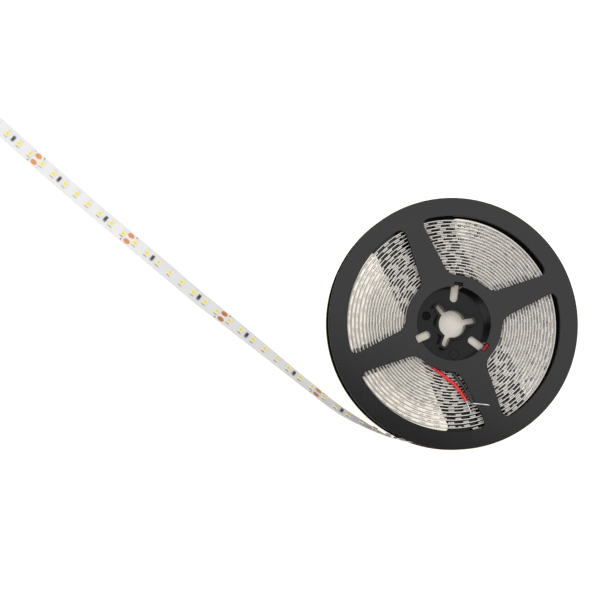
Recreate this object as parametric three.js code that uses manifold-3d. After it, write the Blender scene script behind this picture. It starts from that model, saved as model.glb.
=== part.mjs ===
// A reel of LED strip light: two moulded reel halves, 5 m of strip wound between them with its
// free end run out to one side, and the two supply wires of the strip's inner end.
// Millimetres, +Z up. The reel lies flat on its back flange, and the origin is on the floor
// under the middle of the whole object's box.
import * as THREE from 'three';
import { mergeVertices } from 'three/addons/utils/BufferGeometryUtils.js';
import Module from 'manifold-3d';

const wasm = await Module();
wasm.setup();

// Reel
const REEL_RADIUS = 65;
const FLANGE_THICKNESS = 1.2;
const RIM_BAND = 9.5; // plain ring outside the windows
const HUB_BAND_RADIUS = 25.2; // inner edge of the windows
const SPOKE_ANGLE = 22.9; // the first of four spokes, 90 degrees apart
const SPOKE_HALF_WIDTH_AT_HUB = 7.3;
const SPOKE_HALF_WIDTH_AT_RIM = 4.9;
const WINDOW_CORNER_AT_RIM = 4.5;
const WINDOW_CORNER_AT_HUB = 4.8;
const BACK_SPOKE_EXTRA = 2.4; // the back half's narrow spokes are this much wider on each side
const LABEL_BAR_HALF_WIDTH = 21.7; // the back half's wide straight bar, across the narrow spokes
const CORE_RADIUS = 20;
const CORE_WALL = 1;
const WEB_THICKNESS = 2.4; // floor of the hub recess
const COLLAR_TOP = 7; // height of the collar round the keyed hole
const COLLAR_WALL = 1.5;
const ARBOR_RADIUS = 7;
const KEY_ANGLES = [9, 129, 249];
const KEY_REACH = 12.4;
const KEY_WIDTH = 3;
const SLOT_ANGLES = [83, 203.5, 323.5];
const SLOT_WIDTH = 4.1;
const SLOT_INNER_RADIUS = 11.7;
const SLOT_OUTER_RADIUS = 21.2;
const SOCKET_ANGLE = 161;
const SOCKET_DISTANCE = 13.5;
const SOCKET_RADIUS = 2.2;
const SOCKET_FLOOR = 0.8;
const GATE_ANGLE = 275.7;
const GATE_DISTANCE = 15.6;
const GATE_RADIUS = 2.6;
const GATE_HEIGHT = 0.5;
const RIM_SIDES = 96; // faces round the rim
const CORE_SIDES = 60; // faces round the core wall
const ARBOR_SIDES = 48;
const BOSS_SIDES = 24;
const CUT_PAST = 1; // how far the shapes that cut holes run past the faces they cut
const JOIN_OVERLAP = 0.2; // how far shapes that become one solid run into each other

// Strip
const STRIP_WIDTH = 8;
const STRIP_THICKNESS = 0.4;
const STRIP_UNDER_CLEARANCE = 0.1; // between the wound strip and the back flange
const STRIP_SIDE_ROOM = 2.1; // between the wound strip and the front flange, where the wires cross
const COIL_INNER_RADIUS = 22.9;
const COIL_START_ANGLE = 290;
const COIL_TURNS = 20;
const COIL_PITCH = 1.5;
const LOOSE_FROM_TURN = 14.6;
const LOOSE_PITCH = 0.4; // the outer turns lie this much further apart
const LOOSE_SIDE_ANGLE = 215; // and more so on this side
const LOOSE_SIDE_SHARE = 0.5;
const STEPS_PER_TURN = 40;
const TAIL_STEP = 5;
const WOUND_LOW = FLANGE_THICKNESS + STRIP_UNDER_CLEARANCE; // the wound strip's lower edge
// The free end, from the coil outwards: x and y from the reel's axis, the height of its lower
// edge over the floor, and its lean, 90 on edge and 0 flat with its LEDs up.
const TAIL_STATIONS = [
  [6.5, -56.2, WOUND_LOW, 90],
  [-7, -59.4, WOUND_LOW, 90],
  [-20, -61, WOUND_LOW, 90],
  [-29.6, -59.3, WOUND_LOW, 87],
  [-37.8, -56, WOUND_LOW, 76],
  [-57.3, -45.3, 1, 54],
  [-75.8, -31.1, 0.5, 48],
  [-94, -16.5, 0.2, 41],
  [-112.3, -1.8, 0.1, 30],
  [-130.7, 12.7, 0.1, 23],
  [-148.3, 27.5, 0.1, 19],
  [-166.1, 42.4, 0.1, 14],
  [-183.6, 57, 0.1, 10],
  [-201.2, 71.9, 0.1, 6],
  [-229.4, 96.7, 0.1, 1],
  [-261.2, 125.2, 0.1, 0],
];

// Parts on the strip
const LED_PITCH = 7.8125; // 128 to the metre
const LEDS_PER_UNIT = 8; // from one cut line to the next
const LED_LENGTH = 2.8; // along the strip
const LED_WIDTH = 3.5;
const LED_HEIGHT = 0.8;
const LEDS_ON_TAIL = 38;
const RESISTOR_LENGTH = 3.2; // across the strip
const RESISTOR_WIDTH = 1.6;
const RESISTOR_HEIGHT = 0.55;
const RESISTORS_AFTER_LED = [2, 6]; // in each unit
const SOLDER_GAP = 0.1;

// Wires
const WIRE_RADIUS = 0.95;
const CORE_STRAND_RADIUS = 0.4;
const WIRE_STEP = 3.6;
const WIRE_SIDES = 8;
const JOINT_ANGLE = 287.6;
const JOINT_RADII = [1.5, 0.5, 0.9]; // along the strip, off it and across it
const JOINT_OFF_STRIP = 0.75;
const RED_JOINT_HEIGHT = 7.3;
const BLACK_JOINT_HEIGHT = 3.3;
// Routes of the wires: angle round the reel's axis, distance from it, and height.
const RED_ROUTE = [
  [292.6, 21.6, 7.3],
  [300, 21.3, 7.4],
  [312, 21.2, 7.6],
  [330, 21.2, 8.2],
  [340, 21.2, 8.9],
  [349, 21.15, 9.7],
  [358, 21.6, 10.2],
  [368, 22.5, 10.3],
  [380, 23.5, 10.3],
  [395, 23.85, 10.3],
  [420, 23.8, 10.3],
  [450, 23.7, 10.3],
  [480, 23.6, 10.3],
  [510, 23.45, 10.3],
  [540, 23.3, 10.3],
  [570, 23.2, 10.3],
  [588, 23.35, 10.3],
  [600, 24, 10.3],
  [607, 25.1, 10.3],
  [612.4, 26.1, 10.3],
  [617.1, 27, 10.3],
  [625.9, 29.4, 10.35],
  [632, 32.2, 10.45],
  [636, 35.8, 10.55],
  [639.4, 40.3, 10.65],
];
const RED_TIP_ROUTE = [
  [639.5, 40.6, 10.65],
  [640.8, 45.3, 10.4],
  [641.3, 47.9, 10.2],
];
const BLACK_ROUTE = [
  [292.6, 21.6, 3.3],
  [300, 21.3, 3.4],
  [312, 21.2, 3.7],
  [330, 21.2, 4.3],
  [350, 21.2, 5],
  [370, 21.2, 5.6],
  [390, 21.2, 6],
  [420, 21.2, 6.2],
  [450, 21.2, 6.2],
  [480, 21.2, 6.2],
  [510, 21.2, 6.2],
  [535, 21.2, 6.2],
  [552, 21.2, 6.4],
  [568, 21.2, 7],
  [582, 21.2, 7.8],
  [594, 21.2, 8.8],
  [603, 21.15, 9.7],
  [611, 21.6, 10.25],
  [620, 22.8, 10.3],
  [627, 24.4, 10.3],
  [631.1, 26.5, 10.35],
  [634.1, 28.8, 10.5],
  [638.2, 32.2, 11],
  [640.4, 36.3, 11.9],
  [642.4, 40.8, 12.9],
  [643, 41.9, 13.1],
];
const BLACK_TIP_ROUTE = [
  [643.3, 42.35, 13.15],
  [646, 43.1, 13.2],
  [649.5, 44.2, 13.2],
  [653.4, 45.9, 13.15],
];

// Worked out from the sizes above
const REEL_HEIGHT = WOUND_LOW + STRIP_WIDTH + STRIP_SIDE_ROOM + FLANGE_THICKNESS;
const FRONT_FLANGE_LOW = REEL_HEIGHT - FLANGE_THICKNESS;
const WINDOW_OUTER_RADIUS = REEL_RADIUS - RIM_BAND;
const RECESS_RADIUS = CORE_RADIUS - CORE_WALL;
const CORE_SPLIT_HEIGHT = REEL_HEIGHT / 2;
const STRIP_MIDDLE_HEIGHT = WOUND_LOW + STRIP_WIDTH / 2;
const CUT_SPACING = LEDS_PER_UNIT * LED_PITCH;

const PLASTIC = { color: 0x2c2c2e, roughness: 0.55, metalness: 0 };
const STRIP_WHITE = { color: 0xe6e2dc, roughness: 0.6, metalness: 0 };
const LED_WHITE = { color: 0xf1ead0, roughness: 0.4, metalness: 0 };
const RESISTOR_BLACK = { color: 0x1b1b1b, roughness: 0.5, metalness: 0 };
const WIRE_RED = { color: 0xd0201c, roughness: 0.45, metalness: 0 };
const WIRE_BLACK = { color: 0x161616, roughness: 0.45, metalness: 0 };
const TIN = { color: 0xc8c8c8, roughness: 0.35, metalness: 1 };

const radians = THREE.MathUtils.degToRad;

function polar(radius, degrees) {
  return new THREE.Vector2(radius * Math.cos(radians(degrees)), radius * Math.sin(radians(degrees)));
}

function polar3([degrees, radius, height]) {
  const at = polar(radius, degrees);
  return new THREE.Vector3(at.x, at.y, height);
}

function toSolid(geometry) {
  const bare = geometry.clone();
  bare.deleteAttribute('normal');
  bare.deleteAttribute('uv');
  const merged = mergeVertices(bare, 1e-4);
  return new wasm.Manifold(new wasm.Mesh({
    numProp: 3,
    vertProperties: new Float32Array(merged.attributes.position.array),
    triVerts: new Uint32Array(merged.index.array),
  }));
}

function toGeometry(solid) {
  const mesh = solid.getMesh();
  const geometry = new THREE.BufferGeometry();
  geometry.setAttribute('position', new THREE.BufferAttribute(mesh.vertProperties, 3));
  geometry.setIndex(new THREE.BufferAttribute(mesh.triVerts, 1));
  geometry.computeVertexNormals();
  return geometry;
}

function extrude(outline, bottom, top, curveSegments = 12) {
  const geometry = new THREE.ExtrudeGeometry(outline, {
    depth: top - bottom,
    bevelEnabled: false,
    curveSegments,
  });
  geometry.translate(0, 0, bottom);
  return toSolid(geometry);
}

function disc(radius, bottom, top, sides, centre = new THREE.Vector2()) {
  const geometry = new THREE.CylinderGeometry(radius, radius, top - bottom, sides);
  geometry.rotateX(Math.PI / 2);
  geometry.translate(centre.x, centre.y, (bottom + top) / 2);
  return toSolid(geometry);
}

function ring(outerRadius, innerRadius, bottom, top, sides) {
  const hole = disc(innerRadius, bottom - CUT_PAST, top + CUT_PAST, sides);
  return disc(outerRadius, bottom, top, sides).subtract(hole);
}

function partWay(from, to, distance, arc) {
  // The point this far from one corner towards the next, on the reel circle of radius arc if the
  // side between them follows one.
  if (!arc) return from.clone().lerp(to, distance / from.distanceTo(to));
  const turn = Math.sign(from.cross(to)) * (distance / arc);
  return from.clone().rotateAround(new THREE.Vector2(), turn);
}

function roundedOutline(corners) {
  // Each corner has its point, the length that its rounding takes off both sides, and the radius
  // of the reel circle that the side after it follows, if it isn't straight.
  const outline = new THREE.Path();
  corners.forEach(({ point, round, arc }, i) => {
    const previous = corners.at(i - 1);
    const next = corners[(i + 1) % corners.length];
    const entry = partWay(point, previous.point, round, previous.arc);
    const exit = partWay(point, next.point, round, arc);
    if (i === 0) outline.moveTo(entry.x, entry.y);
    else if (!previous.arc) outline.lineTo(entry.x, entry.y);
    outline.quadraticCurveTo(point.x, point.y, exit.x, exit.y);
    if (arc) {
      const arcEnd = partWay(next.point, point, next.round, arc);
      outline.absarc(0, 0, arc, exit.angle(), arcEnd.angle(), exit.cross(arcEnd) < 0);
    }
  });
  outline.closePath();
  return outline;
}

function onCircle(radius, offset, degrees) {
  // The point at this radius that lies offset to the left of the ray at this angle.
  return polar(radius, degrees).rotateAround(new THREE.Vector2(), Math.asin(offset / radius));
}

function frontWindow(degrees) {
  // Between the spoke at this angle and the next one, counter-clockwise.
  const next = degrees + 90;
  const hub = SPOKE_HALF_WIDTH_AT_HUB;
  const rim = SPOKE_HALF_WIDTH_AT_RIM;
  const atHub = { round: WINDOW_CORNER_AT_HUB };
  const atRim = { round: WINDOW_CORNER_AT_RIM };
  return roundedOutline([
    { ...atHub, point: onCircle(HUB_BAND_RADIUS, hub, degrees) },
    { ...atRim, point: onCircle(WINDOW_OUTER_RADIUS, rim, degrees), arc: WINDOW_OUTER_RADIUS },
    { ...atRim, point: onCircle(WINDOW_OUTER_RADIUS, -rim, next) },
    { ...atHub, point: onCircle(HUB_BAND_RADIUS, -hub, next), arc: HUB_BAND_RADIUS },
  ]);
}

function backWindow(degrees, side) {
  // Between the narrow spoke at this angle and the label bar, on the side of the spoke given.
  const nearHub = SPOKE_HALF_WIDTH_AT_HUB + BACK_SPOKE_EXTRA;
  const nearRim = SPOKE_HALF_WIDTH_AT_RIM + BACK_SPOKE_EXTRA;
  const barInner = new THREE.Vector2(LABEL_BAR_HALF_WIDTH, side * nearHub);
  const barOuter = onCircle(WINDOW_OUTER_RADIUS, -side * LABEL_BAR_HALF_WIDTH, side * 90);
  barInner.rotateAround(new THREE.Vector2(), radians(degrees));
  barOuter.rotateAround(new THREE.Vector2(), radians(degrees));
  const spokeOuter = onCircle(WINDOW_OUTER_RADIUS, side * nearRim, degrees);
  return roundedOutline([
    { point: barInner, round: WINDOW_CORNER_AT_RIM },
    { point: spokeOuter, round: WINDOW_CORNER_AT_RIM, arc: WINDOW_OUTER_RADIUS },
    { point: barOuter, round: WINDOW_CORNER_AT_RIM },
  ]);
}

function flange(windows, bottom) {
  const rim = [];
  for (let i = 0; i < RIM_SIDES; i += 1) rim.push(polar(REEL_RADIUS, (360 * i) / RIM_SIDES));
  const outline = new THREE.Shape(rim);
  outline.holes = windows;
  return extrude(outline, bottom, bottom + FLANGE_THICKNESS, 5);
}

function slot(degrees) {
  // A cutter through the whole reel: half round at its inner end and straight to its outer one.
  const half = SLOT_WIDTH / 2;
  const outline = new THREE.Shape();
  outline.moveTo(SLOT_OUTER_RADIUS, half);
  outline.lineTo(SLOT_INNER_RADIUS + half, half);
  outline.absarc(SLOT_INNER_RADIUS + half, 0, half, Math.PI / 2, 1.5 * Math.PI);
  outline.lineTo(SLOT_OUTER_RADIUS, -half);
  outline.closePath();
  return extrude(outline, -CUT_PAST, REEL_HEIGHT + CUT_PAST, 5).rotate([0, 0, degrees]);
}

function keyedHole(growth, bottom, top) {
  // The arbor hole with its three key notches, made larger all round by growth.
  const tipRound = KEY_WIDTH / 2 + growth;
  let hole = disc(ARBOR_RADIUS + growth, bottom, top, ARBOR_SIDES);
  for (const degrees of KEY_ANGLES) {
    const outline = new THREE.Shape();
    outline.moveTo(0, -tipRound);
    outline.lineTo(KEY_REACH + growth - tipRound, -tipRound);
    outline.absarc(KEY_REACH + growth - tipRound, 0, tipRound, -Math.PI / 2, Math.PI / 2);
    outline.lineTo(0, tipRound);
    outline.closePath();
    hole = hole.add(extrude(outline, bottom, top, 6).rotate([0, 0, degrees]));
  }
  return hole;
}

function frontHalf() {
  const windows = [0, 90, 180, 270].map((turn) => frontWindow(SPOKE_ANGLE + turn));
  const wallTop = FRONT_FLANGE_LOW + JOIN_OVERLAP;
  let half = flange(windows, FRONT_FLANGE_LOW);
  half = half.subtract(disc(RECESS_RADIUS, FRONT_FLANGE_LOW - CUT_PAST, REEL_HEIGHT + CUT_PAST, CORE_SIDES));
  half = half.add(ring(CORE_RADIUS, RECESS_RADIUS, CORE_SPLIT_HEIGHT, wallTop, CORE_SIDES));
  for (const degrees of SLOT_ANGLES) half = half.subtract(slot(degrees));
  return toGeometry(half);
}

function backHalf() {
  const windows = [];
  for (const turn of [0, 180]) {
    windows.push(backWindow(SPOKE_ANGLE + turn, 1), backWindow(SPOKE_ANGLE + turn, -1));
  }
  const joinLow = FLANGE_THICKNESS - JOIN_OVERLAP;
  let half = flange(windows, 0);
  half = half.add(ring(CORE_RADIUS, RECESS_RADIUS, joinLow, CORE_SPLIT_HEIGHT, CORE_SIDES));
  half = half.add(disc(RECESS_RADIUS + JOIN_OVERLAP, joinLow, WEB_THICKNESS, CORE_SIDES));
  half = half.add(keyedHole(COLLAR_WALL, FLANGE_THICKNESS, COLLAR_TOP));
  half = half.subtract(keyedHole(0, -CUT_PAST, COLLAR_TOP + CUT_PAST));
  const gate = polar(GATE_DISTANCE, GATE_ANGLE);
  half = half.add(disc(GATE_RADIUS, FLANGE_THICKNESS, WEB_THICKNESS + GATE_HEIGHT, BOSS_SIDES, gate));
  const socket = polar(SOCKET_DISTANCE, SOCKET_ANGLE);
  half = half.subtract(disc(SOCKET_RADIUS, SOCKET_FLOOR, WEB_THICKNESS + CUT_PAST, BOSS_SIDES, socket));
  for (const degrees of SLOT_ANGLES) half = half.subtract(slot(degrees));
  return toGeometry(half);
}

function coilRadius(turn) {
  const degrees = COIL_START_ANGLE - 360 * turn;
  const side = 1 + LOOSE_SIDE_SHARE * Math.cos(radians(degrees - LOOSE_SIDE_ANGLE));
  const loose = LOOSE_PITCH * side * Math.max(0, turn - LOOSE_FROM_TURN);
  return COIL_INNER_RADIUS + COIL_PITCH * turn + loose;
}

function coilPoint(turn) {
  return polar3([COIL_START_ANGLE - 360 * turn, coilRadius(turn), STRIP_MIDDLE_HEIGHT]);
}

function stripFrame(point, ahead, lean) {
  // The strip's place and its three directions: along it, across it and out of its LED face.
  const along = ahead.clone().normalize();
  const level = new THREE.Vector3(along.y, -along.x, 0).normalize();
  const face = new THREE.Vector3(0, 0, Math.cos(lean)).addScaledVector(level, Math.sin(lean));
  const across = new THREE.Vector3().crossVectors(face, along).normalize();
  face.crossVectors(along, across);
  return { point, along, across, face };
}

function coilFrames() {
  const frames = [];
  const steps = Math.round(COIL_TURNS * STEPS_PER_TURN);
  const near = 0.001;
  for (let i = 0; i < steps; i += 1) {
    const turn = (COIL_TURNS * i) / steps;
    const ahead = coilPoint(turn + near).sub(coilPoint(turn - near));
    frames.push(stripFrame(coilPoint(turn), ahead, Math.PI / 2));
  }
  return frames;
}

const tailCurve = new THREE.CatmullRomCurve3([
  coilPoint(COIL_TURNS),
  ...TAIL_STATIONS.map(([x, y, low, leanDegrees]) => {
    const lean = radians(leanDegrees);
    const rise = (STRIP_WIDTH * Math.sin(lean) + STRIP_THICKNESS * Math.cos(lean)) / 2;
    return new THREE.Vector3(x, y, low + rise);
  }),
]);
tailCurve.arcLengthDivisions = 2000;
const TAIL_LENGTH = tailCurve.getLength();

function tailFrame(fromEnd) {
  // The frame at this distance from the strip's free end.
  const t = tailCurve.getUtoTmapping(1 - fromEnd / TAIL_LENGTH);
  const leans = [90, ...TAIL_STATIONS.map((station) => station[3])];
  const place = t * (leans.length - 1);
  const index = Math.min(Math.floor(place), leans.length - 2);
  const lean = THREE.MathUtils.lerp(leans[index], leans[index + 1], place - index);
  return stripFrame(tailCurve.getPoint(t), tailCurve.getTangent(t), radians(lean));
}

function ribbon(frames) {
  // A closed strip of rectangular section through the frames.
  const positions = [];
  const index = [];
  for (const { point, across, face } of frames) {
    for (const [a, f] of [[-1, -1], [1, -1], [1, 1], [-1, 1]]) {
      const corner = point.clone();
      corner.addScaledVector(across, (a * STRIP_WIDTH) / 2);
      corner.addScaledVector(face, (f * STRIP_THICKNESS) / 2);
      positions.push(corner.x, corner.y, corner.z);
    }
  }
  for (let i = 0; i < frames.length - 1; i += 1) {
    for (let side = 0; side < 4; side += 1) {
      const a = 4 * i + side;
      const b = 4 * i + ((side + 1) % 4);
      index.push(a, b, a + 4, b, b + 4, a + 4);
    }
  }
  const last = 4 * (frames.length - 1);
  index.push(0, 2, 1, 0, 3, 2);
  index.push(last, last + 1, last + 2, last, last + 2, last + 3);
  const geometry = new THREE.BufferGeometry();
  geometry.setAttribute('position', new THREE.Float32BufferAttribute(positions, 3));
  geometry.setIndex(index);
  geometry.computeVertexNormals();
  return geometry;
}

function ledStrip() {
  const steps = Math.ceil(TAIL_LENGTH / TAIL_STEP);
  const tail = [];
  for (let i = 0; i <= steps; i += 1) tail.push(tailFrame(TAIL_LENGTH * (1 - i / steps)));
  return ribbon([...coilFrames(), ...tail]);
}

function tube(route, radius) {
  const curve = new THREE.CatmullRomCurve3(route.map(polar3));
  const section = new THREE.Shape();
  for (let i = 0; i < WIRE_SIDES; i += 1) {
    const corner = polar(radius, (360 * i) / WIRE_SIDES);
    if (i === 0) section.moveTo(corner.x, corner.y);
    else section.lineTo(corner.x, corner.y);
  }
  section.closePath();
  return new THREE.ExtrudeGeometry(section, {
    steps: Math.max(2, Math.round(curve.getLength() / WIRE_STEP)),
    bevelEnabled: false,
    extrudePath: curve,
  });
}

function stripPart(frame, length, width, height) {
  // A box soldered on the strip's LED face.
  const geometry = new THREE.BoxGeometry(length, width, height);
  const off = STRIP_THICKNESS / 2 + SOLDER_GAP + height / 2;
  const matrix = new THREE.Matrix4().makeBasis(frame.along, frame.across, frame.face);
  matrix.setPosition(frame.point.clone().addScaledVector(frame.face, off));
  return { geometry, matrix };
}

function solderJoint(height) {
  const [along, off, across] = JOINT_RADII;
  const geometry = new THREE.SphereGeometry(1, 12, 8);
  geometry.scale(along, off, across);
  const turn = (COIL_START_ANGLE - JOINT_ANGLE) / 360;
  const radius = coilRadius(turn) - STRIP_THICKNESS / 2 - JOINT_OFF_STRIP;
  const matrix = new THREE.Matrix4().makeRotationZ(radians(JOINT_ANGLE + 90));
  matrix.setPosition(polar3([JOINT_ANGLE, radius, height]));
  return { geometry, matrix };
}

const object = new THREE.Group();

function add(name, geometry, look, matrix) {
  const mesh = new THREE.Mesh(geometry, new THREE.MeshStandardMaterial(look));
  mesh.name = name;
  if (matrix) mesh.applyMatrix4(matrix);
  object.add(mesh);
}

function addAt(name, { geometry, matrix }, look) {
  add(name, geometry, look, matrix);
}

function number(count) {
  return String(count).padStart(2, '0');
}

add('reel_back_half', backHalf(), PLASTIC);
add('reel_front_half', frontHalf(), PLASTIC);
add('led_strip', ledStrip(), STRIP_WHITE);
for (let i = 0; i < LEDS_ON_TAIL; i += 1) {
  const frame = tailFrame((i + 0.5) * LED_PITCH);
  addAt(`led_${number(i + 1)}`, stripPart(frame, LED_LENGTH, LED_WIDTH, LED_HEIGHT), LED_WHITE);
}
let resistors = 0;
for (let cut = 0; cut < LEDS_ON_TAIL * LED_PITCH; cut += CUT_SPACING) {
  for (const led of RESISTORS_AFTER_LED) {
    const fromEnd = cut + led * LED_PITCH;
    if (fromEnd > LEDS_ON_TAIL * LED_PITCH) continue;
    resistors += 1;
    const part = stripPart(tailFrame(fromEnd), RESISTOR_WIDTH, RESISTOR_LENGTH, RESISTOR_HEIGHT);
    addAt(`resistor_${number(resistors)}`, part, RESISTOR_BLACK);
  }
}
add('red_wire', tube(RED_ROUTE, WIRE_RADIUS), WIRE_RED);
add('red_wire_tip', tube(RED_TIP_ROUTE, CORE_STRAND_RADIUS), TIN);
addAt('red_solder_joint', solderJoint(RED_JOINT_HEIGHT), TIN);
add('black_wire', tube(BLACK_ROUTE, WIRE_RADIUS), WIRE_BLACK);
add('black_wire_tip', tube(BLACK_TIP_ROUTE, CORE_STRAND_RADIUS), TIN);
addAt('black_solder_joint', solderJoint(BLACK_JOINT_HEIGHT), TIN);

// The origin goes on the floor under the middle of the whole, which the wires don't widen.
const box = new THREE.Box3().setFromObject(object, true);
const middle = box.getCenter(new THREE.Vector3());
object.position.set(-middle.x, -middle.y, 0);

export default object;
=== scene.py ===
"""The looks of the LED strip reel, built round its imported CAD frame."""

import math

import bpy
import numpy as np
from mathutils import Matrix, Vector
from mathutils.geometry import tessellate_polygon


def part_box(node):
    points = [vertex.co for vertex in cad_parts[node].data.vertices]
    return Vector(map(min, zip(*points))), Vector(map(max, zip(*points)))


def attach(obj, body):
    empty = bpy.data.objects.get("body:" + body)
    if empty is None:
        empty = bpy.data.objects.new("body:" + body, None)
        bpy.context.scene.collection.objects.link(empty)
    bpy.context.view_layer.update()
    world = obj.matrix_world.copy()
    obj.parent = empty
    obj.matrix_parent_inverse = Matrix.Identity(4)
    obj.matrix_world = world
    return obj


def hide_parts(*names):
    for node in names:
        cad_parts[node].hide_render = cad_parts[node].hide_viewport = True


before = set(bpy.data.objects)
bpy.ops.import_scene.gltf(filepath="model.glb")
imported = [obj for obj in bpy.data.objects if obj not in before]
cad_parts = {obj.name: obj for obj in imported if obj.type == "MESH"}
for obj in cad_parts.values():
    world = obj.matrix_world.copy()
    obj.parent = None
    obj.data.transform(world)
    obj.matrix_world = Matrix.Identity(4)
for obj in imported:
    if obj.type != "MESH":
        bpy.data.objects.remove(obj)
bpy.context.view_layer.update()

# Sizes are millimetres from the reel's axis, as in the part's source.
MM = 0.001
reel_low, reel_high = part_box("reel_back_half")
REEL_AXIS = Vector(((reel_low.x + reel_high.x) / 2, (reel_low.y + reel_high.y) / 2, 0))

REEL_RADIUS = 65
REEL_HEIGHT = 12.6
FLANGE_THICKNESS = 1.2
FRONT_FLANGE_LOW = REEL_HEIGHT - FLANGE_THICKNESS
WINDOW_OUTER_RADIUS = 55.5
HUB_BAND_RADIUS = 25.2
SPOKE_ANGLE = 22.9
SPOKE_HALF_WIDTH_AT_HUB = 7.3
SPOKE_HALF_WIDTH_AT_RIM = 4.9
WINDOW_CORNER_AT_RIM = 4.5
WINDOW_CORNER_AT_HUB = 4.8
BACK_SPOKE_EXTRA = 2.4
LABEL_BAR_HALF_WIDTH = 21.7
CORE_RADIUS = 20
RECESS_RADIUS = 19
CORE_SPLIT_HEIGHT = 6.3
WEB_THICKNESS = 2.4
COLLAR_TOP = 7
COLLAR_WALL = 1.5
ARBOR_RADIUS = 7
KEY_ANGLES = (9, 129, 249)  # degrees
KEY_REACH = 12.4
KEY_WIDTH = 3
SLOT_ANGLES = (83, 203.5, 323.5)
SLOT_WIDTH = 4.1
SLOT_INNER_RADIUS = 11.7
SLOT_OUTER_RADIUS = 21.2
SOCKET = (161, 13.5, 2.2)  # degrees, distance from the axis and radius; the gate mark too
GATE = (275.7, 15.6, 2.6)
GATE_TOP = 2.9
FLANGE_ROUNDING = 0.22
CORE_ROUNDING = 0.12
WEB_ROUNDING = 0.15
COLLAR_ROUNDING = 0.25
GATE_ROUNDING = 0.2
LAPPED = 0.4  # how far one plate of a moulding reaches into the next
WEB_INTO_WALL = 0.3
SOCKET_SHADE_BELOW = 0.3  # a thin disc of painted shade in the socket, about the face of the flange
SOCKET_SHADE_ABOVE = 0.03
CORNER_STEPS = 8
MITRE_LIMIT = 0.35

STRIP_WIDTH = 8
STRIP_THICKNESS = 0.4
STRIP_CHAMFER = 0.05
STRIP_MIDDLE_HEIGHT = 5.3
COIL_INNER_RADIUS = 22.9
COIL_START_ANGLE = 290
COIL_TURNS = 20
COIL_PITCH = 1.5
LOOSE_FROM_TURN = 14.6  # from here outwards the turns lie looser, most so at one side
LOOSE_PITCH = 0.4
LOOSE_SIDE_ANGLE = 215
LOOSE_SIDE_SHARE = 0.5
STEPS_PER_TURN = 110
TAIL_STEPS = 230
COIL_SAMPLES = 8001
TAIL_SAMPLES = 2001
ROUTE_SAMPLES = 1200
WOUND_LOW = 1.3
TAIL_STATIONS = (  # x, y, height of the lower edge, and the strip's lean in degrees
    (6.5, -56.2, WOUND_LOW, 90), (-7, -59.4, WOUND_LOW, 90), (-20, -61, WOUND_LOW, 90),
    (-29.6, -59.3, WOUND_LOW, 87), (-37.8, -56, WOUND_LOW, 76), (-57.3, -45.3, 1, 54),
    (-75.8, -31.1, 0.5, 48), (-94, -16.5, 0.2, 41), (-112.3, -1.8, 0.1, 30),
    (-130.7, 12.7, 0.1, 23), (-148.3, 27.5, 0.1, 19), (-166.1, 42.4, 0.1, 14),
    (-183.6, 57, 0.1, 10), (-201.2, 71.9, 0.1, 6), (-229.4, 96.7, 0.1, 1), (-261.2, 125.2, 0.1, 0),
)
LED_PITCH = 7.8125
LEDS_PER_UNIT = 8
LEDS_ON_TAIL = 38
RESISTORS_AFTER_LED = (2, 6)
CUT_SPACING = LEDS_PER_UNIT * LED_PITCH
TICK_ALONG = 3.05
TICK_ACROSS = 3.05
TICK_HALF_SIZE = (0.35, 0.3)
PAD_ACROSS = 1.95
PAD_HALF_LENGTH = 1.85
PAD_HALF_WIDTH = 1.25
PAD_CIRCLE = [np.array([math.cos(a), math.sin(a)]) for a in np.linspace(0, 2 * math.pi, 29)[:-1]]
CUTS_ON_TAIL = 5

WIRE_RADIUS = 0.91
RED_ROUTE = (  # degrees round the axis, distance from it, and height
    (292.6, 21.6, 7.3), (300, 21.3, 7.4), (312, 21.2, 7.6), (330, 21.2, 8.2), (340, 21.2, 8.9),
    (349, 21.15, 9.7), (358, 21.6, 10.2), (368, 22.5, 10.3), (380, 23.5, 10.3), (395, 23.85, 10.3),
    (420, 23.8, 10.3), (450, 23.7, 10.3), (480, 23.6, 10.3), (510, 23.45, 10.3), (540, 23.3, 10.3),
    (570, 23.2, 10.3), (588, 23.35, 10.3), (600, 24, 10.3), (607, 25.1, 10.3), (612.4, 26.1, 10.3),
    (617.1, 27, 10.3), (625.9, 29.4, 10.35), (632, 32.2, 10.45), (636, 35.8, 10.55),
    (639.4, 40.3, 10.65),
)
RED_TIP_ROUTE = (
    (639.5, 40.6, 10.65), (640.8, 45.3, 10.4), (641.3, 47.9, 10.2),
)
BLACK_ROUTE = (
    (292.6, 21.6, 3.3), (300, 21.3, 3.4), (312, 21.2, 3.7), (330, 21.2, 4.3), (350, 21.2, 5),
    (370, 21.2, 5.6), (390, 21.2, 6), (420, 21.2, 6.2), (450, 21.2, 6.2), (480, 21.2, 6.2),
    (510, 21.2, 6.2), (535, 21.2, 6.2), (552, 21.2, 6.4), (568, 21.2, 7), (582, 21.2, 7.8),
    (594, 21.2, 8.8), (603, 21.15, 9.7), (611, 21.6, 10.25), (620, 22.8, 10.3), (627, 24.4, 10.3),
    (631.1, 26.5, 10.35), (634.1, 28.8, 10.5), (638.2, 32.2, 11), (640.4, 36.3, 11.9),
    (642.4, 40.8, 12.9), (643, 41.9, 13.1),
)
BLACK_TIP_ROUTE = (
    (643.3, 42.35, 13.15), (646, 43.1, 13.2), (649.5, 44.2, 13.2), (653.4, 45.9, 13.15),
)
STRAND_BUNDLE_RADIUS = 0.4
STRAND_LOBES = 6
STRAND_SIDES = 36
STRAND_TWIST = 2.2
STRAND_GROOVE = 0.14
ROUTE_STEP = 0.8
STRAND_STEP = 0.25
STRAND_END_TAPER = 0.55


# Camera

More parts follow.
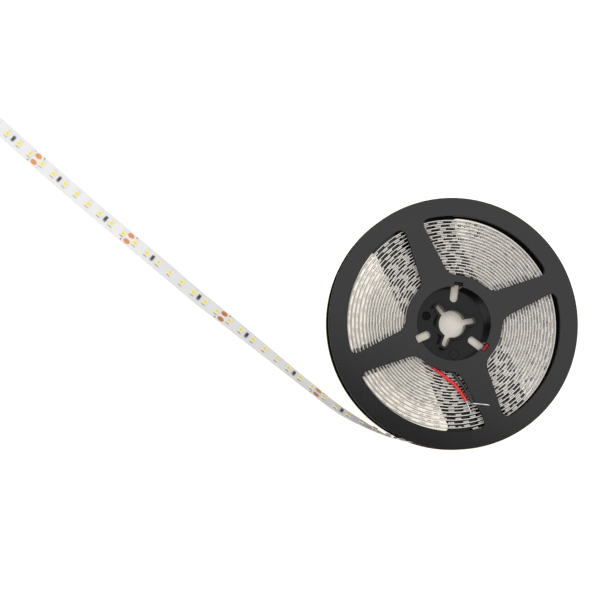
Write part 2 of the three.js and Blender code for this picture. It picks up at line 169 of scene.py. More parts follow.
CAMERA_PLACE = (-221.57, -80.65, 1291.04)
CAMERA_TARGET = (-79.12, 11.86, 6.3)
CAMERA_LENS = 151.2
CAMERA_SENSOR_WIDTH = 36
CAMERA_CLIP_START = 0.01


def make_camera():
    place = Vector(CAMERA_PLACE) * MM + REEL_AXIS
    target = Vector(CAMERA_TARGET) * MM + REEL_AXIS
    ahead = (target - place).normalized()
    right = ahead.cross(Vector((0, 1, 0))).normalized()
    up = right.cross(ahead)
    camera = bpy.data.objects.new("camera", bpy.data.cameras.new("camera"))
    camera.data.sensor_width = CAMERA_SENSOR_WIDTH
    camera.data.lens = CAMERA_LENS
    camera.data.clip_start = CAMERA_CLIP_START
    turn = Matrix((right, up, -ahead)).transposed().to_4x4()
    camera.matrix_world = Matrix.Translation(place) @ turn
    bpy.context.scene.collection.objects.link(camera)
    bpy.context.scene.camera = camera


make_camera()


# Shader maths

class Value:
    """A socket of a finish that takes part in sums."""

    def __init__(self, finish, socket):
        self.finish = finish
        self.socket = socket

    def math(self, operation, *inputs):
        return self.finish.node("Math", {"operation": operation}, dict(enumerate(inputs)))

    def __add__(self, other):
        return self.math("ADD", self, other)

    def __mul__(self, other):
        return self.math("MULTIPLY", self, other)

    __radd__ = __add__
    __rmul__ = __mul__


class Finish:
    """A material in the making, with its node tree."""

    def __init__(self, name, **fixed):
        self.material = bpy.data.materials.new(name)
        self.material.use_nodes = True
        self.tree = self.material.node_tree
        self.shader = self.tree.nodes["Principled BSDF"]
        for socket, value in fixed.items():
            self.shader.inputs[socket.replace("_", " ")].default_value = value

    def node(self, kind, settings=None, inputs=None, output=0):
        made = self.tree.nodes.new("ShaderNode" + kind)
        for name, value in (settings or {}).items():
            setattr(made, name, value)
        for name, value in (inputs or {}).items():
            self.put(made.inputs[name], value)
        return Value(self, made.outputs[output])

    def put(self, socket, value):
        if isinstance(value, Value):
            self.tree.links.new(value.socket, socket)
        elif socket.type == "RGBA":
            socket.default_value = (*value, 1)
        else:
            socket.default_value = value

    def set(self, name, value):
        self.put(self.shader.inputs[name], value)

    def noise(self, size, detail=2.0):
        """Grain of this size in millimetres, about 0.5 in the middle."""
        place = self.node("TexCoord", output="Object")
        inputs = {"Vector": place, "Scale": 1 / (size * MM), "Detail": detail}
        return self.node("TexNoise", inputs=inputs)

    def blend(self, factor, first, second):
        settings = {"data_type": "RGBA"}
        return self.node("Mix", settings, {0: factor, 6: first, 7: second}, output=2)

    def bump(self, height, strength, distance):
        inputs = {"Height": height, "Strength": strength, "Distance": distance * MM}
        self.set("Normal", self.node("Bump", inputs=inputs))


def grey(level):
    return (level, level, level)


def moulded_plastic(name, sheen):
    finish = Finish(name, Specular_IOR_Level=sheen)
    flow = finish.noise(22, detail=3)
    grain = finish.noise(0.35, detail=3)
    finish.set("Base Color", finish.blend(flow, grey(0.0055), grey(0.0085)))
    finish.set("Roughness", flow * 0.04 + grain * 0.04 + 0.09)
    finish.bump(grain, 0.12, 0.04)
    return finish.material


def strip_coating():
    finish = Finish("strip_coating", Specular_IOR_Level=0.45)
    cloud = finish.noise(9, detail=3)
    grain = finish.noise(0.25)
    finish.set("Base Color", finish.blend(cloud, (0.80, 0.79, 0.80), (0.86, 0.85, 0.855)))
    finish.set("Roughness", cloud * 0.1 + 0.16)
    finish.bump(grain, 0.12, 0.03)
    return finish.material


def strip_edge():
    finish = Finish("strip_edge", Specular_IOR_Level=0.4)
    run = finish.noise(3.5, detail=4)
    fine = finish.noise(0.3)
    finish.set("Base Color", finish.blend(run, (0.82, 0.77, 0.70), (0.93, 0.89, 0.84)))
    finish.set("Roughness", fine * 0.2 + 0.5)
    finish.bump(fine, 0.2, 0.04)
    return finish.material


def adhesive_backing():
    finish = Finish("adhesive_backing", Specular_IOR_Level=0.4)
    fibre = finish.noise(1.2, detail=4)
    finish.set("Base Color", finish.blend(fibre, (0.87, 0.82, 0.74), (0.93, 0.89, 0.83)))
    finish.set("Roughness", fibre * 0.12 + 0.18)
    finish.bump(fibre, 0.15, 0.03)
    return finish.material


def plain_grained(name, dark, light, size, roughness, metallic=0.0):
    """A finish of two close shades with a fine grain."""
    finish = Finish(name, Metallic=metallic)
    grain = finish.noise(size, detail=3)
    finish.set("Base Color", finish.blend(grain, dark, light))
    finish.set("Roughness", grain * 0.15 + roughness)
    finish.bump(grain, 0.15, size * 0.1)
    return finish.material


PLASTIC = moulded_plastic("moulded_plastic", 0.2)
# sunk_plastic_painted_shade is this plastic with less sheen: painted shade that darkens the hub's web,
# collar and gate mark down in the recess.
SHADED_SUNK_PLASTIC = moulded_plastic("sunk_plastic_painted_shade", 0.1)
# socket_painted_shade has almost no sheen: painted shade that makes the shallow socket look deep and
# black.
SOCKET_SHADE_PLASTIC = moulded_plastic("socket_painted_shade", 0.02)
# edge_plastic_painted_shade has almost no sheen: painted shade on the flanges' rounded sides, so that the
# rim shows no light line.
SHADED_EDGE_PLASTIC = moulded_plastic("edge_plastic_painted_shade", 0.01)
COATING = strip_coating()
EDGE = strip_edge()
BACKING = adhesive_backing()
LED_CASE = plain_grained("led_case", (0.88, 0.86, 0.80), (0.93, 0.91, 0.86), 0.4, 0.35)
PHOSPHOR = plain_grained("phosphor", (0.96, 0.80, 0.13), (0.98, 0.88, 0.24), 0.5, 0.28)
CHIP_GLOW = plain_grained("phosphor_middle", (0.72, 0.58, 0.06), (0.85, 0.72, 0.12), 0.3, 0.3)
TERMINAL = plain_grained("terminal_tin", grey(0.20), grey(0.34), 0.3, 0.35, metallic=0.9)
RESISTOR_CASE = plain_grained("resistor_case", grey(0.03), grey(0.07), 0.3, 0.35)
COPPER = plain_grained("copper_pad", (0.52, 0.20, 0.055), (0.64, 0.29, 0.09), 0.6, 0.32, metallic=0.35)
INK = plain_grained("mark_ink", grey(0.05), grey(0.10), 0.4, 0.5)
RED_PVC = plain_grained("red_pvc", (0.70, 0.006, 0.006), (0.84, 0.014, 0.012), 1.2, 0.28)
BLACK_PVC = plain_grained("black_pvc", grey(0.006), grey(0.014), 1.2, 0.28)
TINNED_COPPER = plain_grained("tinned_copper", grey(0.55), grey(0.75), 0.25, 0.22, metallic=0.95)


# Shapes

def polar(radius, degrees):
    angle = math.radians(degrees)
    return np.array([radius * math.cos(angle), radius * math.sin(angle)])


def turned(point, degrees):
    c, s = math.cos(math.radians(degrees)), math.sin(math.radians(degrees))
    return np.array([c * point[0] - s * point[1], s * point[0] + c * point[1]])


def angle_of(point):
    return math.degrees(math.atan2(point[1], point[0]))


def arc(radius, start, end, step=1.5, centre=(0, 0)):
    """Points on a circle from one angle to another, both ends included."""
    count = max(2, math.ceil(abs(end - start) / step) + 1)
    return [np.array(centre) + polar(radius, a) for a in np.linspace(start, end, count)]


def part_way(start, end, distance, radius):
    if radius is None:
        return start + (end - start) * distance / np.linalg.norm(end - start)
    side = 1 if start[0] * end[1] - start[1] * end[0] > 0 else -1
    return turned(start, side * math.degrees(distance / radius))


def rounded_outline(corners):
    """Corners are (point, length its rounding takes, radius of the side after it or None)."""
    points = []
    for i, (point, take, radius) in enumerate(corners):
        before = corners[i - 1]
        after = corners[(i + 1) % len(corners)]
        entry = part_way(point, before[0], take, before[2])
        leave = part_way(point, after[0], take, radius)
        for t in np.linspace(0, 1, CORNER_STEPS + 1):
            points.append((1 - t) ** 2 * entry + 2 * t * (1 - t) * point + t * t * leave)
        if radius is not None:
            stop = part_way(after[0], point, after[1], radius)
            first = angle_of(leave)
            last = first + (angle_of(stop) - first + 180) % 360 - 180
            points += arc(radius, first, last)[1:-1]
    return points


def on_circle(radius, offset, degrees):
    return polar(radius, degrees + math.degrees(math.asin(offset / radius)))


def front_window(degrees):
    hub, rim = SPOKE_HALF_WIDTH_AT_HUB, SPOKE_HALF_WIDTH_AT_RIM
    after = degrees + 90
    return rounded_outline([
        (on_circle(HUB_BAND_RADIUS, hub, degrees), WINDOW_CORNER_AT_HUB, None),
        (on_circle(WINDOW_OUTER_RADIUS, rim, degrees), WINDOW_CORNER_AT_RIM, WINDOW_OUTER_RADIUS),
        (on_circle(WINDOW_OUTER_RADIUS, -rim, after), WINDOW_CORNER_AT_RIM, None),
        (on_circle(HUB_BAND_RADIUS, -hub, after), WINDOW_CORNER_AT_HUB, HUB_BAND_RADIUS),
    ])


def back_window(degrees, side):
    near_hub = SPOKE_HALF_WIDTH_AT_HUB + BACK_SPOKE_EXTRA
    near_rim = SPOKE_HALF_WIDTH_AT_RIM + BACK_SPOKE_EXTRA
    bar_inner = np.array([LABEL_BAR_HALF_WIDTH, side * near_hub])
    bar_outer = on_circle(WINDOW_OUTER_RADIUS, -side * LABEL_BAR_HALF_WIDTH, side * 90)
    spoke_outer = on_circle(WINDOW_OUTER_RADIUS, side * near_rim, degrees)
    return rounded_outline([
        (turned(bar_inner, degrees), WINDOW_CORNER_AT_RIM, None),
        (spoke_outer, WINDOW_CORNER_AT_RIM, WINDOW_OUTER_RADIUS),
        (turned(bar_outer, degrees), WINDOW_CORNER_AT_RIM, None),
    ])


def keyed_outline(growth):
    """The arbor hole with its key notches, larger all round by growth."""
    radius, half = ARBOR_RADIUS + growth, KEY_WIDTH / 2 + growth
    opening = math.degrees(math.asin(half / radius))
    points = []
    for i, degrees in enumerate(KEY_ANGLES):
        tip = arc(half, -90, 90, 12, (KEY_REACH - KEY_WIDTH / 2, 0))
        points += [turned(p, degrees) for p in tip]
        after = KEY_ANGLES[(i + 1) % 3] + (360 if i == 2 else 0)
        points += arc(radius, degrees + opening, after - opening, 3)
    return points


def slotted_outline(radius, end, rounded):
    """A circle with the three slots: notches outwards to end, or inwards to a half round end."""
    half = SLOT_WIDTH / 2
    opening = math.degrees(math.asin(half / radius))
    points = []
    for i, degrees in enumerate(SLOT_ANGLES):
        if rounded:
            notch = arc(half, 270, 90, 12, (end + half, 0))
        else:
            notch = [np.array([end, -half]), np.array([end, half])]
        points += [turned(p, degrees) for p in notch]
        after = SLOT_ANGLES[(i + 1) % 3] + (360 if i == 2 else 0)
        points += arc(radius, degrees + opening, after - opening, 1.5)
    return points


def slot_outline(degrees):
    half = SLOT_WIDTH / 2
    points = arc(half, 90, 270, 12, (SLOT_INNER_RADIUS + half, 0))
    points += [np.array([SLOT_OUTER_RADIUS, -half]), np.array([SLOT_OUTER_RADIUS, half])]
    return [turned(p, degrees) for p in points]


def signed_area(points):
    x, y = np.array(points).T
    return float(np.sum(x * np.roll(y, -1) - np.roll(x, -1) * y)) / 2


class Shape:
    """Vertices and faces of one piece, in millimetres, with a material number per face."""

    def __init__(self):
        self.points = []
        self.faces = []
        self.materials = []

    def add(self, points, faces, material=0):
        first = len(self.points)
        self.points += [tuple(p) for p in points]
        self.faces += [[first + i for i in face] for face in faces]
        self.materials += [material] * len(faces)

    def plate(self, contours, low, high, rounding, material=0, steps=2, edge=None):
        """A flat plate with rounded edges; all but the first contour are holes.

        edge is the material number of its sides, where it isn't that of its faces.
        """
        turn = [rounding * (1 - math.cos(math.pi / 2 * k / steps)) for k in range(steps + 1)]
        rise = [rounding * (1 - math.sin(math.pi / 2 * k / steps)) for k in range(steps + 1)]
        rows = [(turn[k], low + rise[k]) for k in range(steps, -1, -1)]
        rows += [(turn[k], high - rise[k]) for k in range(steps + 1)]
        points, faces, floor_loops, roof_loops, numbers = [], [], [], [], []
        for n, contour in enumerate(contours):
            loop = np.array(contour)
            if (signed_area(contour) > 0) != (n == 0):
                loop = loop[::-1]
            ahead = np.roll(loop, -1, axis=0) - loop
            ahead /= np.linalg.norm(ahead, axis=1)[:, None]
            inward = np.stack([-ahead[:, 1], ahead[:, 0]], axis=1)
            mitre = inward + np.roll(inward, 1, axis=0)
            mitre /= np.maximum(MITRE_LIMIT, np.sum(mitre * inward, axis=1))[:, None]
            count = len(loop)
            first = len(points)
            for inset, height in rows:
                for x, y in loop + mitre * inset:
                    points.append((x, y, height))
            for row in range(len(rows) - 1):
                for i in range(count):
                    a = first + row * count + i
                    b = first + row * count + (i + 1) % count
                    faces.append([a, b, b + count, a + count])
            last = first + (len(rows) - 1) * count
            floor_loops.append([Vector(points[first + i]) for i in range(count)])
            roof_loops.append([Vector(points[last + i]) for i in range(count)])
            numbers.append((first, last, count))
        sides = len(faces)
        for which, loops in ((0, floor_loops), (1, roof_loops)):
            flat = [number[which] + i for number in numbers for i in range(number[2])]
            for triangle in tessellate_polygon(loops):
                face = [flat[i] for i in triangle]
                a, b, c = (points[i] for i in face)
                up = (b[0] - a[0]) * (c[1] - a[1]) - (b[1] - a[1]) * (c[0] - a[0]) > 0
                faces.append(face if up == (which == 1) else face[::-1])
        self.add(points, faces, material)
        if edge is not None:
            first = len(self.materials) - len(faces)
            self.materials[first:first + sides] = [edge] * sides

    def mesh(self, name, materials, scale=MM, origin=(0, 0, 0), sharp=20):
        mesh = bpy.data.meshes.new(name)
        points = [tuple(scale * c + o for c, o in zip(p, origin)) for p in self.points]
        mesh.from_pydata(points, [], self.faces)
        for material in materials:
            mesh.materials.append(material)
        mesh.polygons.foreach_set("material_index", self.materials)
        mesh.validate()
        mesh.shade_smooth()
        mesh.set_sharp_from_angle(angle=math.radians(sharp))
        return mesh


def place(name, mesh, slot, replaces=(), matrix=None):
    piece = bpy.data.objects.new(name, mesh)
    bpy.context.scene.collection.objects.link(piece)
    if matrix is not None:
        piece.matrix_world = matrix
    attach(piece, "root")
    if replaces:
        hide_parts(*replaces)
    return piece


def on_reel(shape, name, materials, slot, replaces=()):
    return place(name, shape.mesh(name, materials, origin=REEL_AXIS), slot, replaces)


# Reel

def core_walls(shape, low, high):
    """The core's wall, in three arcs between the slots."""
    opening = math.degrees(math.asin(SLOT_WIDTH / 2 / RECESS_RADIUS))
    outer_opening = math.degrees(math.asin(SLOT_WIDTH / 2 / CORE_RADIUS))
    for i, degrees in enumerate(SLOT_ANGLES):
        after = SLOT_ANGLES[(i + 1) % 3] + (360 if i == 2 else 0)
        outline = arc(CORE_RADIUS, degrees + outer_opening, after - outer_opening)
        outline += arc(RECESS_RADIUS, after - opening, degrees + opening)
        shape.plate([outline], low, high, CORE_ROUNDING)


def round_spot(place):
    """The outline of a round feature of the hub floor."""
    degrees, distance, radius = place
    return arc(radius, 0, 345, 15, polar(distance, degrees))


def make_reel():
    rim = arc(REEL_RADIUS, 0, 360, 1.25)[:-1]
    front = Shape()
    # The sides of the flange take the plastic with painted shade.
    finishes = [PLASTIC, SHADED_EDGE_PLASTIC]
    edge = finishes.index(SHADED_EDGE_PLASTIC)
    windows = [front_window(SPOKE_ANGLE + turn) for turn in (0, 90, 180, 270)]
    centre = slotted_outline(RECESS_RADIUS, SLOT_OUTER_RADIUS, False)
    front.plate([rim, *windows, centre], FRONT_FLANGE_LOW, REEL_HEIGHT, FLANGE_ROUNDING, edge=edge)
    core_walls(front, CORE_SPLIT_HEIGHT, FRONT_FLANGE_LOW + FLANGE_THICKNESS / 2)
    on_reel(front, "front_half", finishes, "reel_plastic", ["reel_front_half"])

    back = Shape()
    finishes = [PLASTIC, SHADED_SUNK_PLASTIC, SOCKET_SHADE_PLASTIC, SHADED_EDGE_PLASTIC]
    shaded_sunk, socket, edge = 1, 2, 3
    windows = [back_window(SPOKE_ANGLE + turn, side) for turn in (0, 180) for side in (1, -1)]
    slots = [slot_outline(degrees) for degrees in SLOT_ANGLES]
    hole = keyed_outline(0)
    back.plate([rim, *windows, *slots, hole], 0, FLANGE_THICKNESS, FLANGE_ROUNDING, edge=edge)
    floor = slotted_outline(RECESS_RADIUS + WEB_INTO_WALL, SLOT_INNER_RADIUS, True)
    web_low = FLANGE_THICKNESS - LAPPED
    # The web, the collar and the gate mark take the plastic with painted shade.
    back.plate([floor, hole, round_spot(SOCKET)], web_low, WEB_THICKNESS, WEB_ROUNDING, shaded_sunk)
    # A thin sheenless disc on the socket's floor, painted shade for a deep socket.
    socket_shade_disc = FLANGE_THICKNESS - SOCKET_SHADE_BELOW, FLANGE_THICKNESS + SOCKET_SHADE_ABOVE
    back.plate([round_spot(SOCKET)], *socket_shade_disc, 0.01, socket)
    core_walls(back, web_low, CORE_SPLIT_HEIGHT)
    collar_low = WEB_THICKNESS - LAPPED
    collar = [keyed_outline(COLLAR_WALL), hole]
    back.plate(collar, collar_low, COLLAR_TOP, COLLAR_ROUNDING, shaded_sunk)
    back.plate([round_spot(GATE)], collar_low, GATE_TOP, GATE_ROUNDING, shaded_sunk)
    on_reel(back, "back_half", finishes, "reel_plastic", ["reel_back_half"])


make_reel()


# The strip's line

def smooth_curve(points):
    """The centripetal Catmull-Rom curve through the points, as a function of 0 to 1."""
    points = np.array(points, float)
    ends = 2 * points[0] - points[1], 2 * points[-1] - points[-2]
    p = np.vstack([ends[0], points, ends[1]])
    spans = len(points) - 1

    def at(t):
        place = min(max(t, 0.0), 1.0) * spans
        i = min(int(place), spans - 1)
        w = place - i
        p0, p1, p2, p3 = p[i:i + 4]
        d0, d1, d2 = (math.sqrt(np.linalg.norm(b - a)) for a, b in ((p0, p1), (p1, p2), (p2, p3)))
        t1 = ((p1 - p0) / d0 - (p2 - p0) / (d0 + d1) + (p2 - p1) / d1) * d1
        t2 = ((p2 - p1) / d1 - (p3 - p1) / (d1 + d2) + (p3 - p2) / d2) * d1
        square = 3 * (p2 - p1) - 2 * t1 - t2
        cube = 2 * (p1 - p2) + t1 + t2
        return p1 + t1 * w + square * w ** 2 + cube * w ** 3

    return at


def coil_point(turn):
    degrees = COIL_START_ANGLE - 360 * turn
    side = 1 + LOOSE_SIDE_SHARE * math.cos(math.radians(degrees - LOOSE_SIDE_ANGLE))
    loose = LOOSE_PITCH * side * max(0, turn - LOOSE_FROM_TURN)
    radius = COIL_INNER_RADIUS + COIL_PITCH * turn + loose
    return np.array([*polar(radius, degrees), STRIP_MIDDLE_HEIGHT])


def tail_points():
    points = [coil_point(COIL_TURNS)]
    for x, y, low, lean in TAIL_STATIONS:
        angle = math.radians(lean)
        rise = (STRIP_WIDTH * math.sin(angle) + STRIP_THICKNESS * math.cos(angle)) / 2
        points.append(np.array([x, y, low + rise]))
    return points


TAIL_CURVE = smooth_curve(tail_points())
TAIL_LEANS = [90] + [station[3] for station in TAIL_STATIONS]
TAIL_T = np.linspace(0, 1, TAIL_SAMPLES)
TAIL_LINE = np.array([TAIL_CURVE(t) for t in TAIL_T])
TAIL_RUN = np.concatenate([[0], np.cumsum(np.linalg.norm(np.diff(TAIL_LINE, axis=0), axis=1))])
TAIL_LENGTH = TAIL_RUN[-1]
COIL_T = np.linspace(0, COIL_TURNS, COIL_SAMPLES)
COIL_LINE = np.array([coil_point(t) for t in COIL_T])
COIL_RUN = np.concatenate([[0], np.cumsum(np.linalg.norm(np.diff(COIL_LINE, axis=0), axis=1))])
COIL_LENGTH = COIL_RUN[-1]


def strip_frame(point, ahead, lean):
    """Where the strip is, and its directions: along, across and out of its LED face."""
    along = ahead / np.linalg.norm(ahead)
    level = np.array([along[1], -along[0], 0])
    level /= np.linalg.norm(level)
    face = np.array([0, 0, math.cos(lean)]) + level * math.sin(lean)
    across = np.cross(face, along)
    across /= np.linalg.norm(across)
    return point, along, across, np.cross(along, across)


def frame_from_end(distance):
    """The strip's frame at this distance from its free end, on the tail or the coil."""
    tail_nudge, coil_nudge = 1e-4, 1e-3
    if distance <= TAIL_LENGTH:
        t = float(np.interp(TAIL_LENGTH - distance, TAIL_RUN, TAIL_T))
        lean = np.interp(t * (len(TAIL_LEANS) - 1), range(len(TAIL_LEANS)), TAIL_LEANS)
        ahead = TAIL_CURVE(t + tail_nudge) - TAIL_CURVE(t - tail_nudge)
        return strip_frame(TAIL_CURVE(t), ahead, math.radians(lean))
    turn = float(np.interp(COIL_LENGTH - (distance - TAIL_LENGTH), COIL_RUN, COIL_T))
    ahead = coil_point(turn + coil_nudge) - coil_point(turn - coil_nudge)
    return strip_frame(coil_point(turn), ahead, math.pi / 2)


STRIP_LENGTH = TAIL_LENGTH + COIL_LENGTH


def strip_matrix(distance):
    """From a part's own millimetres, on the LED face, to the scene."""
    point, along, across, face = frame_from_end(distance)
    origin = point + face * (STRIP_THICKNESS / 2)
    matrix = Matrix.Identity(4)
    for column, direction in enumerate((along, across, face)):
        for row in range(3):
            matrix[row][column] = direction[row] * MM
    for row in range(3):
        matrix[row][3] = origin[row] * MM + REEL_AXIS[row]
    return matrix


STRIP_FINISHES = [COATING, EDGE, BACKING]


def section_rows():
    """The strip's section: across, out of the face, and the material of the side after it."""
    w, t, c = STRIP_WIDTH / 2, STRIP_THICKNESS / 2, STRIP_CHAMFER
    coating, edge, backing = range(len(STRIP_FINISHES))
    return [
        (-w, -t + c, edge), (-w, t - c, edge), (-w + c, t, coating), (w - c, t, edge),
        (w, t - c, edge), (w, -t + c, edge), (w - c, -t, backing), (-w + c, -t, edge),
    ]


def make_strip():
    shape = Shape()
    coil_steps = STEPS_PER_TURN * COIL_TURNS
    distances = [TAIL_LENGTH + COIL_LENGTH * (1 - i / coil_steps) for i in range(coil_steps)]
    distances += [TAIL_LENGTH * (1 - i / TAIL_STEPS) for i in range(TAIL_STEPS + 1)]
    section = section_rows()
    count = len(section)
    points = []
    for distance in distances:
        point, _, across, face = frame_from_end(distance)
        points += [point + across * a + face * f for a, f, _ in section]
    shape.points = [tuple(p) for p in points]
    for i in range(len(distances) - 1):
        for side, (_, _, material) in enumerate(section):
            a = i * count + side
            b = i * count + (side + 1) % count
            shape.faces.append([a, a + count, b + count, b])
            shape.materials.append(material)
    last = (len(distances) - 1) * count
    shape.faces += [list(range(count)), [last + i for i in reversed(range(count))]]
    shape.materials += [STRIP_FINISHES.index(EDGE)] * 2
    on_reel(shape, "strip", STRIP_FINISHES, "strip_base", ["led_strip"])


make_strip()


# What is soldered on the strip

# A part on the strip has x along the strip, y across it and z out of its face.
LED_HALF_LENGTH = 1.4
LED_HALF_WIDTH = 1.6
LED_TOP = 0.9
LED_CORNER = 0.18
WELL_RADIUS = 1.2
PHOSPHOR_RADIUS = 1.26
CHIP_RADIUS = 0.42
TERMINALS = (  # middle along, half length, side across the strip
    (-0.75, 0.42, -1), (0.55, 0.42, -1), (-0.1, 0.95, 1),
)
TERMINAL_HALF_WIDTH = 0.15
TERMINAL_TOP = 0.45
WOUND_LED_HALF_WIDTH = 1.55
WOUND_PHOSPHOR_RADIUS = 1.15
WOUND_TERMINAL = (0.9, 1.65, 0.1, 0.4)  # half length, middle across, half width, top
RESISTOR_HALF_LENGTH = 0.8
RESISTOR_HALF_WIDTH = 1.15
RESISTOR_TOP = 0.6
RESISTOR_GLAZE = (0.72, 1.02, 0.65)  # half length, half width, top
RESISTOR_TERMINAL = (1.38, 0.22, 0.62)  # middle across, half width, top
LED_FINISHES = [LED_CASE, PHOSPHOR, TERMINAL, CHIP_GLOW]
OF_PHOSPHOR, OF_TERMINAL, OF_MIDDLE = 1, 2, 3  # places in the list above
RESISTOR_FINISHES = [RESISTOR_CASE, TERMINAL]
OF_RESISTOR_END = 1


def block(half_length, half_width, along=0.0, across=0.0):
    """The outline of a rectangle round a middle."""
    x0, x1 = along - half_length, along + half_length
    y0, y1 = across - half_width, across + half_width
    return [np.array(p) for p in ((x0, y0), (x1, y0), (x1, y1), (x0, y1))]


def led_shape():
    shape = Shape()
    corners = block(LED_HALF_LENGTH, LED_HALF_WIDTH)
    case = rounded_outline([(corner, LED_CORNER, None) for corner in corners])
    well = arc(WELL_RADIUS, 0, 350, 10)
    phosphor = arc(PHOSPHOR_RADIUS, 0, 350, 10)
    middle = arc(CHIP_RADIUS, 0, 340, 20)
    shape.plate([case], low=0.1, high=0.62, rounding=0.04)
    shape.plate([case, well], low=0.5, high=LED_TOP, rounding=0.07)
    shape.plate([phosphor], low=0.55, high=0.84, rounding=0.1, material=OF_PHOSPHOR)
    shape.plate([middle], low=0.7, high=0.86, rounding=0.03, material=OF_MIDDLE)
    for along, half_length, side in TERMINALS:
        outline = block(half_length, TERMINAL_HALF_WIDTH, along, side * LED_HALF_WIDTH)
        shape.plate([outline], low=0, high=TERMINAL_TOP, rounding=0.05, material=OF_TERMINAL)
    return shape


def wound_led_shape():
    """A plainer LED, for the wound strip."""
    half_length, across, half_width, top = WOUND_TERMINAL
    shape = Shape()
    case = block(LED_HALF_LENGTH, WOUND_LED_HALF_WIDTH)
    phosphor = arc(WOUND_PHOSPHOR_RADIUS, 0, 330, 30)
    shape.plate([case], low=0.05, high=LED_TOP, rounding=0.05, steps=1)
    shape.plate([phosphor], low=0.85, high=0.91, rounding=0.02, material=OF_PHOSPHOR, steps=1)
    for side in (-1, 1):
        outline = block(half_length, half_width, 0, side * across)
        shape.plate([outline], low=0, high=top, rounding=0.03, material=OF_TERMINAL, steps=1)
    return shape


def resistor_shape():
    glaze_half_length, glaze_half_width, glaze_top = RESISTOR_GLAZE
    across, half_width, top = RESISTOR_TERMINAL
    shape = Shape()
    body = block(RESISTOR_HALF_LENGTH, RESISTOR_HALF_WIDTH)
    glaze = block(glaze_half_length, glaze_half_width)
    shape.plate([body], low=0.1, high=RESISTOR_TOP, rounding=0.04)
    shape.plate([glaze], low=0.5, high=glaze_top, rounding=0.03)
    for side in (-1, 1):
        outline = block(RESISTOR_HALF_LENGTH, half_width, 0, side * across)
        shape.plate([outline], low=0.02, high=top, rounding=0.06, material=OF_RESISTOR_END)
    return shape


def make_tail_parts():
    led_mesh = led_shape().mesh("led", LED_FINISHES, scale=1)
    for i in range(LEDS_ON_TAIL):
        matrix = strip_matrix((i + 0.5) * LED_PITCH)
        place(f"tail_led_{i + 1:02d}", led_mesh, "led_body", [f"led_{i + 1:02d}"], matrix)
    resistor_mesh = resistor_shape().mesh("resistor", RESISTOR_FINISHES, scale=1)
    cut, number = 0, 0
    while cut < LEDS_ON_TAIL * LED_PITCH:
        for led in RESISTORS_AFTER_LED:
            distance = cut + led * LED_PITCH
            if distance <= LEDS_ON_TAIL * LED_PITCH:
                number += 1
                matrix = strip_matrix(distance)
                node = f"resistor_{number:02d}"
                place(f"tail_{node}", resistor_mesh, "resistor_body", [node], matrix)
        cut += CUT_SPACING


def gather(shape, part, distances):
    """Adds copies of a part at these distances from the strip's free end."""
    local = np.hstack([np.array(part.points), np.ones((len(part.points), 1))])
    for distance in distances:
        matrix = np.array(strip_matrix(distance))
        first = len(shape.points)
        shape.points += [tuple(p) for p in (local @ matrix.T)[:, :3]]
        shape.faces += [[first + i for i in face] for face in part.faces]
        shape.materials += part.materials


def make_wound_parts():
    """The LEDs and resistors of the wound strip, which the windows show between the turns."""
    leds, resistors = Shape(), Shape()
    wound = range(LEDS_ON_TAIL, int(STRIP_LENGTH / LED_PITCH))
    gather(leds, wound_led_shape(), [(i + 0.5) * LED_PITCH for i in wound])
    places = [i * LED_PITCH for i in wound if i % LEDS_PER_UNIT in RESISTORS_AFTER_LED]
    gather(resistors, resistor_shape(), places)
    led_mesh = leds.mesh("wound_leds", LED_FINISHES, scale=1)
    resistor_mesh = resistors.mesh("wound_resistors", RESISTOR_FINISHES, scale=1)
    place("wound_leds", led_mesh, "led_body")
    place("wound_resistors", resistor_mesh, "resistor_body")


def make_marks():
    """Two copper pads and four short ticks at each cut line of the free end."""
    pads, marks = Shape(), Shape()
    pad = Shape()
    for side in (-1, 1):
        oval = [p * (PAD_HALF_LENGTH, PAD_HALF_WIDTH) + (0, side * PAD_ACROSS) for p in PAD_CIRCLE]
        pad.plate([oval], low=-0.02, high=0.06, rounding=0.03, steps=1)
    mark = Shape()
    for x in (-1, 1):
        for y in (-1, 1):
            tick = block(*TICK_HALF_SIZE, x * TICK_ALONG, y * TICK_ACROSS)
            mark.plate([tick], low=-0.02, high=0.02, rounding=0.005, steps=1)
    cuts = [i * CUT_SPACING for i in range(1, CUTS_ON_TAIL + 1)]
    gather(pads, pad, cuts)
    gather(marks, mark, cuts)
    place("copper_pads", pads.mesh("copper_pads", [COPPER], scale=1), "strip_base")
    place("cut_marks", marks.mesh("cut_marks", [INK], scale=1), "strip_base")


make_tail_parts()
make_wound_parts()
make_marks()


# Supply wires

def route_points(route, step):
    curve = smooth_curve([[*polar(radius, degrees), height] for degrees, radius, height in route])
    t = np.linspace(0, 1, ROUTE_SAMPLES)
    line = np.array([curve(v) for v in t])
    run = np.concatenate([[0], np.cumsum(np.linalg.norm(np.diff(line, axis=0), axis=1))])
    count = max(3, int(run[-1] / step) + 1)
    line = np.array([curve(v) for v in np.interp(np.linspace(0, run[-1], count), run, t)])
    return line * MM + np.array(REEL_AXIS)


def make_wire(name, route, node, slot, finish):
    points = route_points(route, ROUTE_STEP)
    curve = bpy.data.curves.new(name, "CURVE")
    curve.dimensions = "3D"
    spline = curve.splines.new("POLY")
    spline.points.add(len(points) - 1)
    for target, point in zip(spline.points, points):
        target.co = (*point, 1)
    curve.bevel_depth = WIRE_RADIUS * MM
    curve.bevel_resolution = 5
    curve.use_fill_caps = True
    curve.materials.append(finish)
    wire = place(name, curve, slot, [node])
    length = float(np.sum(np.linalg.norm(np.diff(points, axis=0), axis=1)))
    return wire, points, length


